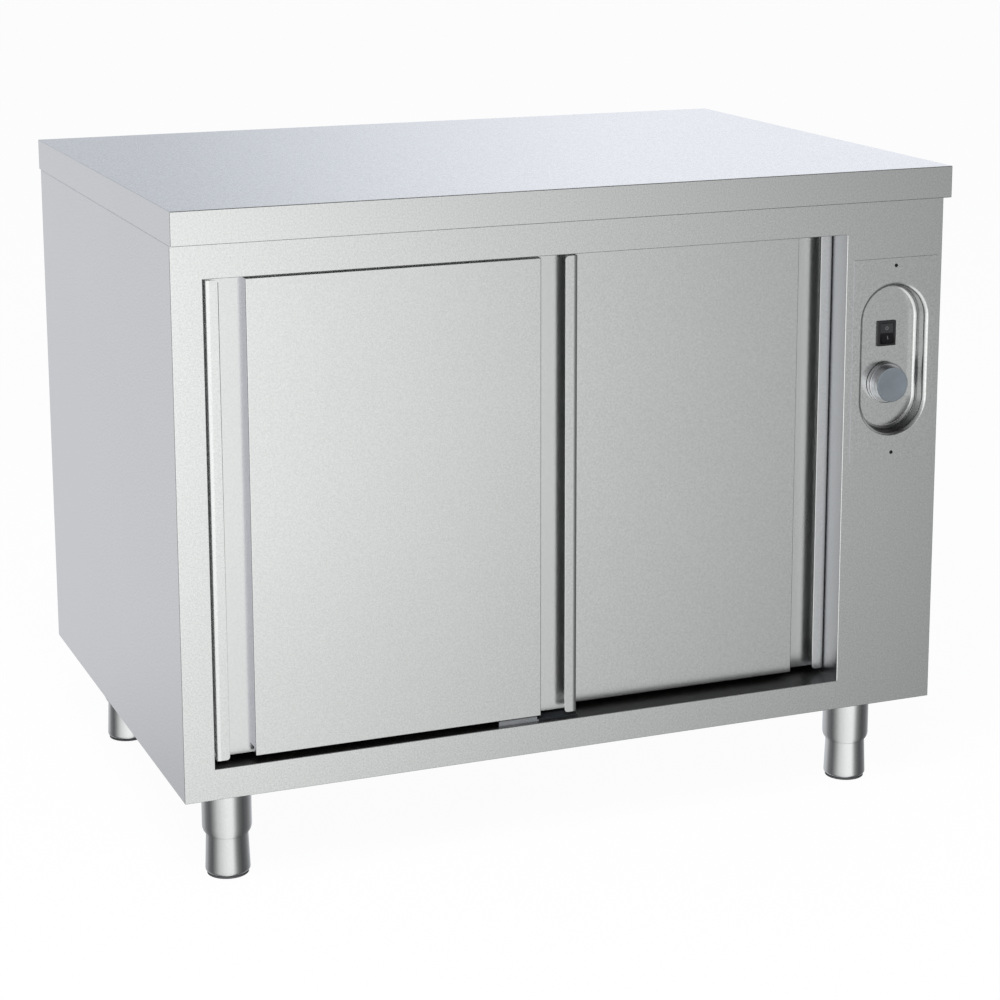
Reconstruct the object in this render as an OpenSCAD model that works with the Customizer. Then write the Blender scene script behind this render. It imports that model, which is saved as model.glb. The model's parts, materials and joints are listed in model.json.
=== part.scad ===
// Hot cupboard: an insulated stainless cabinet with a worktop, two hanging
// sliding doors, a control column on the right and four screw-in feet.
// Millimetres. X runs to the right, Y to the back and Z up. The origin lies
// on the floor, under the middle of the worktop.

/* [Worktop] */
// Width of the worktop
worktop_w = 1000; // [900:10:1400]
// Depth of the worktop
worktop_d = 700; // [640:10:800]
// Height of the worktop's folded edge
worktop_t = 40; // [30:1:60]
// Thickness of the worktop sheet
worktop_gauge = 1.5; // [1:0.1:2]
// Width of the flange folded in under the edge
worktop_flange = 25; // [20:1:35]
// Number of stiffening channels under the worktop
stiffener_count = 3; // [2:1:5]
// Width of a stiffening channel
stiffener_w = 60; // [40:1:80]
// Overhang of the worktop at the left
overhang_left = 0; // [0:1:20]
// Overhang of the worktop at the right
overhang_right = 8; // [1:1:20]
// Overhang of the worktop at the front
overhang_front = 6; // [1:1:20]
// Overhang of the worktop at the back
overhang_back = 10; // [1:1:20]

/* [Body] */
// Height of the body between its lower edge and the worktop
body_h = 655; // [600:5:750]
// Clear height under the body
leg_h = 127; // [110:1:160]
// Thickness of the body's sheet
sheet = 1; // [0.8:0.1:1.5]
// Width of the returns that are folded inwards round the body
return_w = 20; // [12:1:25]
// Width of the frame left of the doors
stile_w = 37; // [32:1:60]
// Width of the control column
column_w = 136; // [130:1:180]
// Height of the frame under the doors
sill_h = 38; // [34:1:60]
// Height of the frame above the doors
head_h = 39; // [36:1:60]
// Depth of the fold along the upper edge of the door opening
head_return = 4; // [2:0.5:6]
// Depth of the flange on top of the front frame
head_flange = 70; // [68:1:90]
// Height of the base panel above the body's lower edge
base_rise = 13; // [12:1:16]
// Thickness of the insulation at the back
rear_insulation_t = 38; // [20:1:60]

/* [Doors] */
// Distance from the body's front to the face of the front door
door_setback = 6; // [4:0.5:12]
// Distance between the faces of the two doors
door_pitch = 29; // [26:0.5:40]
// Width by which the doors overlap when closed
door_overlap = 96; // [60:1:100]
// Gap between the frame and the closed left door
door_gap_left = 4; // [1:0.5:5]
// Gap between the frame and the closed right door
door_gap_right = 1; // [1:0.5:5]
// Gap under the doors
door_clear_bottom = 7; // [6:0.5:12]
// Gap above the face of a door
door_clear_top = 3.5; // [2:0.5:10]
// Gap between the rear door and the shelf space
door_rear_clear = 8; // [4:1:20]
// Thickness of the door sheet
door_gauge = 1; // [0.8:0.1:1.2]
// Depth of the finger channels
channel_depth = 16; // [14:0.5:24]
// Width of the finger channels
channel_w = 31.5; // [25:0.5:45]
// Width of the lip at the edge of a door
lip_w = 15.5; // [12:0.5:18]
// Width of the rounded fold across the face of a lip
lip_fold_w = 5.5; // [3:0.5:8]
// Depth of the rounded fold behind the face of a lip
lip_fold_d = 2; // [1.5:0.1:6]
// Radius of the free corners of a lip
lip_corner_r = 4; // [1:0.5:8]
// Height of a door's back panel above its face
door_upstand = 18; // [14:0.5:20]

/* [Door hardware] */
// Thickness of the track's sheet
track_gauge = 1.5; // [1:0.1:2]
// Height of the track
track_h = 33; // [32:0.5:34]
// Height of the track's running bead
bead_h = 8; // [6:0.5:9]
// Thickness of the running bead
bead_t = 2; // [1.5:0.1:2.2]
// Radius of a roller's rims
roller_r = 10; // [9.5:0.1:11]
// Radius of a roller at the bottom of its groove
roller_groove_r = 8; // [7:0.1:8.5]
// Width of a roller
roller_w = 8; // [6:0.5:8]
// Width of a roller's groove
roller_groove_w = 3; // [2.8:0.1:4]
// Radius of a roller's axle
axle_r = 3; // [2:0.1:4]
// Radius of the head of an axle
axle_head_r = 5; // [4.5:0.1:6]
// Thickness of a hanger plate
hanger_t = 2; // [1.5:0.1:2.5]
// Width of a hanger plate
hanger_w = 34; // [26:1:50]
// Distance from the edge of a door to the middle of a hanger
hanger_inset = 80; // [50:1:120]
// Length of each half of the bottom guide
guide_pad_l = 50; // [30:1:60]
// Gap between the two halves of the bottom guide
guide_gap = 4; // [2:0.5:8]
// Thickness of a guide tongue
tongue_t = 6; // [4:0.5:7]
// Play of a tongue at each side
tongue_play = 1; // [0.5:0.1:1.5]
// Height by which a tongue reaches into its door
tongue_reach = 6; // [3:0.5:10]

/* [Shelf] */
// Height of the shelf above the chamber's floor
shelf_rise = 285; // [150:5:400]
// Height of the shelf's folded edge
shelf_edge = 25; // [15:1:40]
// Gap round the shelf
shelf_gap = 2; // [1:0.5:6]
// Width of the legs of a shelf rail
rail_w = 22; // [15:1:30]

/* [Control panel] */
// Distance from the body's right side to the middle of the panel
control_inset = 66; // [64:1:70]
// Distance of the middle of the panel below the body's upper edge
panel_drop = 202; // [170:1:280]
// Width of the panel
panel_w = 119; // [110:1:122]
// Height of the panel
panel_h = 259; // [245:1:300]
// Height of the screws above and below the middle of the panel
screw_offset = 120; // [116:1:121]
// Radius of the screw heads
screw_head_r = 2.4; // [2:0.1:3]
// Width of the pressed pan in the panel
pan_w = 98; // [90:1:100]
// Height of the pressed pan in the panel
pan_h = 198; // [180:1:200]
// Depth of the pressed pan
pan_depth = 21; // [16:0.5:24]
// Radius of the pan's rim and of its inner corner
pan_fillet = 5; // [3:0.5:6]
// Distance of the knob below the middle of the panel
knob_drop = 33; // [30:1:45]
// Radius of the knob's skirt
knob_skirt_r = 26; // [22:0.5:30]
// Thickness of the knob's skirt
knob_skirt_t = 7; // [4:0.5:10]
// Radius of the knob's cap
knob_cap_r = 22; // [15:0.5:24]
// Height of the knob
knob_h = 20; // [14:0.5:24]
// Radius of the rounded edges of the knob
knob_edge_r = 1.5; // [0.5:0.1:2]
// Radius of the thermostat's spindle
spindle_r = 3; // [2:0.1:4]
// Distance of the switch above the middle of the panel
switch_rise = 30; // [26:1:45]
// Width of the switch's bezel
switch_w = 26; // [24:0.5:30]
// Height of the switch's bezel
switch_h = 32; // [30:0.5:36]
// Thickness of the switch's bezel
switch_bezel_t = 3; // [2.8:0.1:4]
// Width of the switch's rocker
rocker_w = 18; // [14:0.5:18]
// Radius of the ends of the rocker about its pins
rocker_r = 12.8; // [11:0.1:13]
// Angle through which the rocker tips
rocker_angle = 22; // [14:1:26]

/* [Heating] */
// Distance of the fan's axis in front of the chamber's rear wall
fan_inset = 175; // [150:5:300]
// Height of the fan's axis above the chamber's floor
fan_rise = 275; // [200:5:300]
// Radius of the fan's impeller
impeller_r = 60; // [45:1:70]
// Width of the impeller's blades
blade_w = 24; // [15:1:30]
// Number of blades on the impeller
blade_count = 10; // [6:1:14]
// Radius of the heating element's ring
element_r = 85; // [80:1:90]
// Radius of the heating element's tube
element_tube_r = 4; // [3:0.1:5]
// Depth of the air duct behind the chamber's wall
duct_depth = 60; // [50:1:70]
// Width of the air duct
duct_w = 210; // [200:1:240]
// Height of the air duct
duct_h = 250; // [230:1:280]
// Radius of the fan's motor
motor_r = 36; // [25:1:45]
// Length of the fan's motor
motor_l = 46; // [30:1:50]
// Radius of the cable's way through its gland
gland_bore_r = 5; // [3:0.5:6]

/* [Legs] */
// Distance of the legs from the body's sides
leg_inset_x = 72.5; // [60:0.5:80]
// Distance of the front legs from the body's front
leg_inset_front = 86; // [70:1:120]
// Distance of the rear legs from the body's back
leg_inset_back = 91; // [70:1:120]
// Outer radius of a leg's tube
leg_r = 30; // [28:0.5:35]
// Wall of a leg's tube
leg_wall = 1.5; // [1:0.1:2.5]
// Radius of the drawn-in end of a leg's tube
leg_curl_r = 13; // [12:0.5:24]
// Height of the drawn-in end of a leg's tube
leg_curl_h = 10; // [6:0.5:10]
// Height of the lower end of a leg's tube above the floor
leg_seam = 51; // [45:1:60]
// Radius of a foot at its upper end
foot_top_r = 25.5; // [22:0.1:27]
// Radius of a foot near the floor
foot_base_r = 27.2; // [24:0.1:30]
// Radius of a foot's lower edge
foot_edge_r = 4; // [2:0.5:6]
// Thickness of the pad under a foot
foot_pad_t = 2.5; // [1.5:0.1:4]
// Radius of a foot's screw
stem_r = 8; // [6:0.5:10]
// Distance by which a foot can be screwed out
foot_travel = 45; // [20:1:45]
// Width of a leg's flange
flange_w = 100; // [86:1:110]
// Distance between the bolts of a flange
bolt_pitch = 76; // [74:1:84]
// Radius of the leg bolts
bolt_r = 4; // [3:0.5:5]

/* [Hidden] */
$fn = 64;

// Colours of the metals, plastics and insulation
steel = "#c9cbcc";
dark_steel = "#8f9294";
black_plastic = "#26282a";
grey_plastic = "#9a9ca4";
wool = "#d8c690";
knob_blue = "#87909c";

// Running clearance of a pin in its bore
running = 0.05;
// Clearance between fixed pieces that pass through each other
passing = 0.3;
// Overshoot of a cutting tool past the face that it cuts
over = 1;

// Outer faces of the body
body_x = [-worktop_w / 2 + overhang_left, worktop_w / 2 - overhang_right];
body_y = [-worktop_d / 2 + overhang_front, worktop_d / 2 - overhang_back];
body_z = [leg_h, leg_h + body_h];
// Inner faces of the body's outer sheets
in_x = [body_x[0] + sheet, body_x[1] - sheet];
in_y = [body_y[0] + sheet, body_y[1] - sheet];
in_z = [body_z[0] + sheet, body_z[1] - sheet];
// Door opening in the front frame
open_x = [body_x[0] + stile_w, body_x[1] - column_w];
open_z = [body_z[0] + sill_h, body_z[1] - head_h];
open_w = open_x[1] - open_x[0];
open_mid = (open_x[0] + open_x[1]) / 2;
// Door places
door_t = channel_depth + door_gauge;
front_door_y = body_y[0] + door_setback;
rear_door_y = front_door_y + door_pitch;
door_w = (open_w - door_gap_left - door_gap_right + door_overlap) / 2;
left_door_x = open_x[0] + door_gap_left;
right_door_x = open_x[1] - door_gap_right - door_w;
door_z = [open_z[0] + door_clear_bottom, open_z[1] - door_clear_top];
// Heated chamber, measured inside its sheets
chamber_y = [rear_door_y + door_t + door_rear_clear, in_y[1] - 2 * sheet - rear_insulation_t];
chamber_z = [open_z[0], open_z[1] + sheet];
// Base panel's underside
base_z = body_z[0] + base_rise;

// Door parts, across the door's width
pan_u = [lip_w + channel_w, door_w - lip_w - channel_w];
hanger_u = [hanger_inset, door_w - hanger_inset];
fold_steps = 12;
// Slot in a door's lower end, between its flange and its back panel
slot_w = tongue_t + 2 * tongue_play;
slot_v = channel_depth - slot_w;
slot_h = 3;
tongue_v = [slot_v + tongue_play, slot_v + tongue_play + tongue_t];
// Bottom guide
guide_base_t = 2;
guide_under = 1;
guide_pad_v = 2;
guide_x = [open_mid - guide_gap / 2 - guide_pad_l, open_mid + guide_gap / 2];

// Hanging track and rollers
track_z = [in_z[1] - track_h, in_z[1]];
bead_z = track_z[0] + bead_h;
roller_lift = 0.2;
roller_z = bead_z + roller_groove_r + roller_lift;
roller_gap = 1;
roller_v = channel_depth - hanger_t - roller_gap - roller_w / 2;
axle_head_t = 2;
axle_head_gap = 0.5;
web_gap = 1;
axle_head_v = roller_v - roller_w / 2 - axle_head_gap - axle_head_t;
web_v = axle_head_v - web_gap - track_gauge;
hanger_foot = 3;
hanger_margin = 9;

// Control panel
control_x = body_x[1] - control_inset;
panel_z = body_z[1] - panel_drop;
pan_r = pan_w / 2;
pan_floor_r = pan_r - 2 * pan_fillet;
pan_straight = pan_h - pan_w;
panel_y = body_y[0] - sheet;
pan_floor_y = panel_y + pan_depth;
pan_clear = 2;
screw_r = 1.5;
screw_l = 7;
screw_head_t = 1;
knob_z = panel_z - knob_drop;
knob_gap = 1;
knob_hollow_r = 8;
knob_hollow_t = 7;
knob_socket = 10;
bush_r = 5;
bush_l = 5;
thermostat_w = 40;
thermostat_t = 38;
capillary_offset = 14;
capillary_r = 1;
bulb_r = 3;
bulb_x = control_x - capillary_offset;
bulb_z = knob_z + capillary_offset;
bulb_l = 80;
switch_z = panel_z + switch_rise;
switch_body_margin = 2;
switch_body_w = switch_w - 2 * switch_body_margin;
switch_body_h = switch_h - 2 * switch_body_margin;
switch_body_t = 24;
rocker_gap = 0.4;
rocker_recess = 0.5;
rocker_pin_depth = 2.8;
rocker_pin_r = 1.5;
rocker_pin_l = 1;
rocker_back = 8;
rocker_room = 12.5;
rocker_y = pan_floor_y - switch_bezel_t + rocker_pin_depth;

// Heating
duct_x = [open_x[1] + sheet, open_x[1] + sheet + duct_depth];
fan_y = chamber_y[1] - fan_inset;
fan_z = chamber_z[0] + fan_rise;
duct_y = [fan_y - duct_w / 2, fan_y + duct_w / 2];
// The duct sits a little high, so that the bulb lies clear of the element
duct_lift = 10;
duct_z = [fan_z - duct_h / 2 + duct_lift, fan_z + duct_h / 2 + duct_lift];
duct_flange = 12;
shaft_r = 3;
hub_r = 9;
disc_t = 1.5;
blade_t = 1;
blade_inner_r = 34;
blade_lean = 25;
disc_gap = 22;
disc_x = duct_x[1] - disc_gap;
element_gap = 26;
element_x = duct_x[0] + element_gap;
element_sweep = 320;
element_lead = 16;
element_sleeve_wall = 1.5;
element_sleeve_r = element_tube_r + element_sleeve_wall;
motor_plate_rim = 6;
motor_plate_r = motor_r + motor_plate_rim;
motor_plate_t = 3;
motor_cap_r = 18;
motor_cap_l = 8;
motor_bore = 30;
grille_rings = 3;
grille_first_ring = 6;
grille_pitch = 17;
grille_hole_r = 5;
slot_count = 5;
air_slot_l = 26;
air_slot_h = 6;
air_slot_pitch = 36;
air_slot_inset = 18;

// Legs
leg_x = [body_x[0] + leg_inset_x, body_x[1] - leg_inset_x];
leg_y = [body_y[0] + leg_inset_front, body_y[1] - leg_inset_back];
flange_t = 3;
flange_z = base_z - flange_t;
bush_gap = 1;
bush_z = leg_seam + leg_curl_h + bush_gap;
leg_bush_h = 20;
foot_gap = 0.5;
foot_top = leg_seam - foot_gap;
stem_engaged = 19;
stem_top = bush_z + stem_engaged + foot_travel;
bolt_play = 0.25;
bolt_hole_r = bolt_r + bolt_play;
bolt_head_ratio = 1.9;
bolt_head_r = bolt_head_ratio * bolt_r;
bolt_head_t_ratio = 1.3;
bolt_head_t = bolt_head_t_ratio * bolt_r;
bolt_spare = 3;
nut_t_ratio = 1.6;
nut_t = nut_t_ratio * bolt_r;
nut_room = 3;
nut_pocket_r = bolt_head_r + nut_room;

// Cable entry and terminals
gland_offset = 10;
gland_x = control_x + gland_offset;
gland_y = (leg_y[0] + leg_y[1]) / 2;
gland_thread_wall = 3;
gland_thread_r = gland_bore_r + gland_thread_wall;
gland_hex_rim = 5;
gland_hex_r = gland_thread_r + gland_hex_rim;
gland_hex_t = 6;
gland_nut_rim = 2;
gland_nut_r = gland_thread_r + gland_nut_rim;
gland_nut_l = 14;
gland_nose_wall = 2;
gland_nose_r = gland_bore_r + gland_nose_wall;
gland_nose_l = 6;
gland_inside = 10;
terminal_gap = 110;
terminal_y = gland_y - terminal_gap;
terminal_size = [52, 26, 22];
terminal_count = 5;
terminal_pitch = 10;
terminal_well_r = 3;
terminal_well = 8;

// Shared shapes

// A box between two corners, given as ranges along X, Y and Z
module block(x, y, z) {
    translate([x[0], y[0], z[0]])
        cube([x[1] - x[0], y[1] - y[0], z[1] - z[0]]);
}

// Turns a shape so that its +Z points into the cabinet, along +Y
module inward(x, y, z) {
    translate([x, y, z])
        rotate([-90, 0, 0])
            children();
}

// Turns a shape so that its +Z points to the right, along +X
module rightward(x, y, z) {
    translate([x, y, z])
        rotate([0, 90, 0])
            children();
}

// A rectangle about the origin
module middle_square(w, h) {
    translate([-w / 2, -h / 2])
        square([w, h]);
}

// A stadium about the origin with its length along Y
module stadium(r, straight) {
    middle_square(2 * r, straight);
    for (side = [-1, 1])
        translate([0, side * straight / 2])
            circle(r);
}

// A quarter of a ring in the quadrant that the signs name
module quarter_ring(outer, inner, sx, sy) {
    intersection() {
        difference() {
            circle(outer);
            circle(inner);
        }
        quadrant_square(outer, sx, sy);
    }
}

// The square of one quadrant
module quadrant_square(size, sx, sy) {
    translate([sx > 0 ? 0 : -size, sy > 0 ? 0 : -size])
        square(size);
}

// Puts its children at the four legs
module at_legs() {
    for (x = leg_x, y = leg_y)
        translate([x, y, 0])
            children();
}

// Puts its children at the four bolts of each leg
module at_bolts() {
    at_legs()
        for (sx = [-1, 1], sy = [-1, 1])
            translate([sx * bolt_pitch / 2, sy * bolt_pitch / 2, 0])
                children();
}

// Places of the two doors
module at_left_door() {
    translate([left_door_x, front_door_y, 0])
        children();
}

module at_right_door() {
    translate([right_door_x, rear_door_y, 0])
        children();
}

// Worktop

module worktop() {
    outer_x = [-worktop_w / 2, worktop_w / 2];
    outer_y = [-worktop_d / 2, worktop_d / 2];
    top = body_z[1] + worktop_t;
    inner_x = [outer_x[0] + worktop_gauge, outer_x[1] - worktop_gauge];
    inner_y = [outer_y[0] + worktop_gauge, outer_y[1] - worktop_gauge];
    color(steel)
        difference() {
            block(outer_x, outer_y, [body_z[1], top]);
            block(inner_x, inner_y, [body_z[1] + worktop_gauge, top - worktop_gauge]);
            block([outer_x[0] + worktop_flange, outer_x[1] - worktop_flange],
                [outer_y[0] + worktop_flange, outer_y[1] - worktop_flange],
                [body_z[1] - over, top - worktop_gauge]);
        }
}

// Channels that carry the top sheet from the front flange to the back flange
module worktop_stiffeners() {
    z = [body_z[1] + worktop_gauge, body_z[1] + worktop_t - worktop_gauge];
    y = [-worktop_d / 2 + worktop_gauge, worktop_d / 2 - worktop_gauge];
    pitch = worktop_w / (stiffener_count + 1);
    color(dark_steel)
        for (i = [1 : stiffener_count])
            translate([i * pitch - worktop_w / 2, 0, 0])
                difference() {
                    block([-stiffener_w / 2, stiffener_w / 2], y, z);
                    block([-stiffener_w / 2 + worktop_gauge, stiffener_w / 2 - worktop_gauge],
                        [y[0] - over, y[1] + over], [z[0] - over, z[1] - worktop_gauge]);
                }
}

// Casing

// A side panel with its upper, lower and rear returns
module side_panel(outer, inner, side) {
    fold = inner + side * return_w;
    span = [min(outer, inner), max(outer, inner)];
    fold_x = [min(inner, fold), max(inner, fold)];
    y = [in_y[0], body_y[1]];
    block(span, y, body_z);
    block(fold_x, [y[0], in_y[1]], [in_z[1], body_z[1]]);
    block(fold_x, [y[0], in_y[1]], [body_z[0], in_z[0]]);
    block(fold_x, [in_y[1] - sheet, in_y[1]], body_z);
}

module left_side_panel() {
    color(steel)
        side_panel(body_x[0], in_x[0], 1);
}

module right_side_panel() {
    color(steel)
        side_panel(body_x[1], in_x[1], -1);
}

module rear_panel() {
    flange_x = [in_x[0] + return_w, in_x[1] - return_w];
    flange_y = [in_y[1] - return_w, in_y[1]];
    color(steel) {
        block(in_x, [in_y[1], body_y[1]], body_z);
        block(flange_x, flange_y, [in_z[1], body_z[1]]);
        block(flange_x, flange_y, [body_z[0], in_z[0]]);
    }
}

// Base panel with its edges folded down onto the lower returns
module base_panel() {
    x = [in_x[0] + sheet, in_x[1] - sheet];
    y = [in_y[0], in_y[1] - sheet];
    color(steel)
        difference() {
            block(x, y, [in_z[0], base_z + sheet]);
            block([x[0] + sheet, x[1] - sheet], [y[0] + sheet, y[1] - sheet], [in_z[0] - over, base_z]);
            at_bolts()
                translate([0, 0, base_z - over])
                    cylinder(r = bolt_hole_r, h = sheet + 2 * over);
            translate([gland_x, gland_y, base_z - over])
                cylinder(r = gland_thread_r + passing, h = sheet + 2 * over);
        }
}

// Front frame: face, folded edges of the door opening, and flanges
module front_frame() {
    y = [body_y[0], in_y[0]];
    deep = [body_y[0], chamber_y[0]];
    jamb_z = [open_z[0] - sheet, open_z[1] + sheet];
    flange_x = [in_x[0] + return_w, in_x[1] - return_w];
    color(steel)
        difference() {
            union() {
                difference() {
                    block(body_x, y, body_z);
                    block(open_x, [y[0] - over, y[1] + over], open_z);
                    inward(control_x, y[0] - over, panel_z)
                        linear_extrude(sheet + 2 * over)
                            stadium(pan_r + pan_clear, pan_straight);
                }
                block([open_x[0] - sheet, open_x[0]], deep, jamb_z);
                block([open_x[1], open_x[1] + sheet], deep, jamb_z);
                block([open_x[0] - sheet, open_x[1] + sheet], deep, [open_z[0] - sheet, open_z[0]]);
                block(open_x, [y[0], y[0] + head_return], [open_z[1], open_z[1] + sheet]);
                block(flange_x, [y[0], y[0] + head_flange], [in_z[1], body_z[1]]);
                block(flange_x, [y[0], y[1] + return_w], [body_z[0], in_z[0]]);
                block([in_x[0], in_x[0] + sheet], [y[0], y[1] + return_w], in_z);
                block([in_x[1] - sheet, in_x[1]], [y[0], y[1] + return_w], in_z);
            }
            at_panel_screws()
                cylinder(r = screw_r, h = screw_l);
        }
}

// Heated chamber

module chamber_left_wall() {
    color(steel)
        block([open_x[0] - sheet, open_x[0]], chamber_y, [chamber_z[0] - sheet, chamber_z[1] + sheet]);
}

// Partition to the control column, with the fan's grille and the air slots
module chamber_right_wall() {
    color(steel)
        difference() {
            block([open_x[1], open_x[1] + sheet], chamber_y, [chamber_z[0] - sheet, chamber_z[1] + sheet]);
            rightward(open_x[1] - over, fan_y, fan_z)
                grille_holes(sheet + 2 * over);
            for (z = [duct_z[0] + air_slot_inset, duct_z[1] - air_slot_inset])
                air_slots(z);
        }
}

// Rings of holes in front of the fan
module grille_holes(h) {
    cylinder(r = grille_hole_r, h = h);
    for (ring = [1 : grille_rings])
        for (i = [1 : grille_first_ring * ring])
            rotate(i * 360 / (grille_first_ring * ring))
                translate([ring * grille_pitch, 0, 0])
                    cylinder(r = grille_hole_r, h = h);
}

// A row of air slots at one height
module air_slots(z) {
    for (i = [0 : slot_count - 1])
        translate([0, fan_y + (i - (slot_count - 1) / 2) * air_slot_pitch, z])
            block([open_x[1] - over, open_x[1] + sheet + over],
                [-air_slot_l / 2, air_slot_l / 2], [-air_slot_h / 2, air_slot_h / 2]);
}

module chamber_rear_wall() {
    color(steel)
        block([open_x[0] - sheet, open_x[1] + sheet], [chamber_y[1], chamber_y[1] + sheet],
            [chamber_z[0] - sheet, chamber_z[1] + sheet]);
}

// Ceiling with an upstand behind the door track
module chamber_ceiling() {
    color(steel) {
        block(open_x, chamber_y, [chamber_z[1], chamber_z[1] + sheet]);
        block(open_x, [chamber_y[0], chamber_y[0] + sheet], [chamber_z[1], in_z[1]]);
    }
}

module chamber_floor() {
    color(steel)
        block(open_x, chamber_y, [chamber_z[0] - sheet, chamber_z[0]]);
}

module left_insulation() {
    color(wool)
        block([in_x[0], open_x[0] - sheet], chamber_y, [chamber_z[0] - sheet, chamber_z[1] + sheet]);
}

module rear_insulation() {
    color(wool)
        block([open_x[0] - sheet, open_x[1] + sheet], [chamber_y[1] + sheet, in_y[1] - sheet],
            [chamber_z[0] - sheet, chamber_z[1] + sheet]);
}

module ceiling_insulation() {
    color(wool)
        block(open_x, [chamber_y[0] + sheet, chamber_y[1]], [chamber_z[1] + sheet, in_z[1]]);
}

// Floor insulation with pockets for the nuts of the leg bolts
module floor_insulation() {
    color(wool)
        difference() {
            block(open_x, chamber_y, [base_z + sheet, chamber_z[0] - sheet]);
            at_bolts()
                translate([0, 0, base_z])
                    cylinder(r = nut_pocket_r, h = sheet + nut_t + 2 * bolt_spare);
        }
}

// Shelf with its edges folded down
module shelf() {
    x = [open_x[0] + shelf_gap, open_x[1] - shelf_gap];
    y = [chamber_y[0] + shelf_gap, chamber_y[1] - shelf_gap];
    top = chamber_z[0] + shelf_rise;
    color(steel)
        difference() {
            block(x, y, [top - shelf_edge, top]);
            block([x[0] + sheet, x[1] - sheet], [y[0] + sheet, y[1] - sheet],
                [top - shelf_edge - over, top - sheet]);
        }
}

// Angles on the chamber's side walls that carry the shelf
module shelf_rails() {
    top = chamber_z[0] + shelf_rise - shelf_edge;
    color(steel) {
        block([open_x[0], open_x[0] + sheet], chamber_y, [top - rail_w, top]);
        block([open_x[0], open_x[0] + rail_w], chamber_y, [top - sheet, top]);
        block([open_x[1] - sheet, open_x[1]], chamber_y, [top - rail_w, top]);
        block([open_x[1] - rail_w, open_x[1]], chamber_y, [top - sheet, top]);
    }
}

// Doors

// Face tray of a door, with the way for the guide tongue through its walls
module door_face() {
    v = [0, channel_depth];
    color(steel)
        difference() {
            block(pan_u, v, door_z);
            block([pan_u[0] + door_gauge, pan_u[1] - door_gauge], [door_gauge, channel_depth + over],
                [door_z[0] + door_gauge, door_z[1] - door_gauge]);
            tongue_way();
        }
}

// Space that the guide tongue runs through at the foot of a door
module tongue_way() {
    block([-over, door_w + over], [slot_v, channel_depth],
        [door_z[0] - over, door_z[0] + tongue_reach + slot_h]);
}

// Back panel of a door, which also forms the floors of the finger channels
module door_back() {
    color(steel)
        block([0, door_w], [channel_depth, door_t], [door_z[0], door_z[1] + door_upstand]);
}

// Both lips of a door
module door_lips() {
    color(steel)
        difference() {
            union() {
                door_lip();
                translate([door_w, 0, 0])
                    mirror([1, 0, 0])
                        door_lip();
            }
            tongue_way();
        }
}

// A lip folded from the edge of a door, with rounded free corners
module door_lip() {
    intersection() {
        translate([0, 0, door_z[0]])
            linear_extrude(door_z[1] - door_z[0])
                lip_profile();
        translate([0, channel_depth, 0])
            rotate([90, 0, 0])
                linear_extrude(channel_depth)
                    lip_outline();
    }
}

// Points along one face of a lip's fold, a quarter of an ellipse with the given half axes
function fold_arc(across, deep) = [
    for (i = [0 : fold_steps])
        [lip_fold_w - across * sin(90 * i / fold_steps), lip_fold_d - deep * cos(90 * i / fold_steps)]
];

// Section of a lip: the face, the rounded fold and the wall
module lip_profile() {
    outer = fold_arc(lip_fold_w, lip_fold_d);
    inner = fold_arc(lip_fold_w - door_gauge, lip_fold_d - door_gauge);
    wall_end = [[0, channel_depth], [door_gauge, channel_depth]];
    way_back = [for (i = [fold_steps : -1 : 0]) inner[i]];
    polygon(concat([[lip_w, 0]], outer, wall_end, way_back, [[lip_w, door_gauge]]));
}

// Front view of a lip
module lip_outline() {
    translate([0, door_z[0]])
        square([lip_w - lip_corner_r, door_z[1] - door_z[0]]);
    translate([0, door_z[0] + lip_corner_r])
        square([lip_w, door_z[1] - door_z[0] - 2 * lip_corner_r]);
    for (z = [door_z[0] + lip_corner_r, door_z[1] - lip_corner_r])
        translate([lip_w - lip_corner_r, z])
            circle(lip_corner_r);
}

module door_insulation() {
    color(wool)
        block([pan_u[0] + door_gauge, pan_u[1] - door_gauge], [door_gauge, channel_depth],
            [door_z[0] + tongue_reach + slot_h, door_z[1] - door_gauge]);
}

// Hanger plates with their axles
module door_hangers() {
    foot = door_z[1] + hanger_foot;
    color(dark_steel)
        for (u = hanger_u) {
            block([u - hanger_w / 2, u + hanger_w / 2], [channel_depth - hanger_t, channel_depth],
                [foot, roller_z + hanger_margin]);
            inward(u, axle_head_v, roller_z) {
                cylinder(r = axle_head_r, h = axle_head_t);
                cylinder(r = axle_r, h = channel_depth - hanger_t - axle_head_v);
            }
        }
}

// A grooved roller that runs on the track's bead
module door_roller(u) {
    half = roller_w / 2;
    groove = roller_groove_w / 2;
    color(black_plastic)
        inward(u, roller_v, roller_z)
            difference() {
                translate([0, 0, -half])
                    cylinder(r = roller_r, h = roller_w);
                translate([0, 0, -groove])
                    difference() {
                        cylinder(r = roller_r + over, h = roller_groove_w);
                        cylinder(r = roller_groove_r, h = roller_groove_w);
                    }
                translate([0, 0, -half - over])
                    cylinder(r = axle_r + running, h = roller_w + 2 * over);
            }
}

// One rail of the track, seen along X: top plate, web, lower flange and bead
module rail_profile() {
    bead = roller_v - bead_t / 2;
    translate([web_v, track_z[0]])
        square([track_gauge, track_h]);
    translate([web_v, track_z[0]])
        square([bead + bead_t - web_v, track_gauge]);
    translate([bead, track_z[0]])
        square([bead_t, bead_h]);
    translate([web_v, track_z[1] - track_gauge])
        square([bead + bead_t - web_v, track_gauge]);
}

// Track of two rails under one top plate
module door_track() {
    color(dark_steel)
        translate([open_x[0], front_door_y, 0])
            rotate([90, 0, 90])
                linear_extrude(open_w) {
                    rail_profile();
                    translate([door_pitch, 0])
                        rail_profile();
                    translate([web_v, track_z[1] - track_gauge])
                        square([door_pitch, track_gauge]);
                }
}

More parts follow.
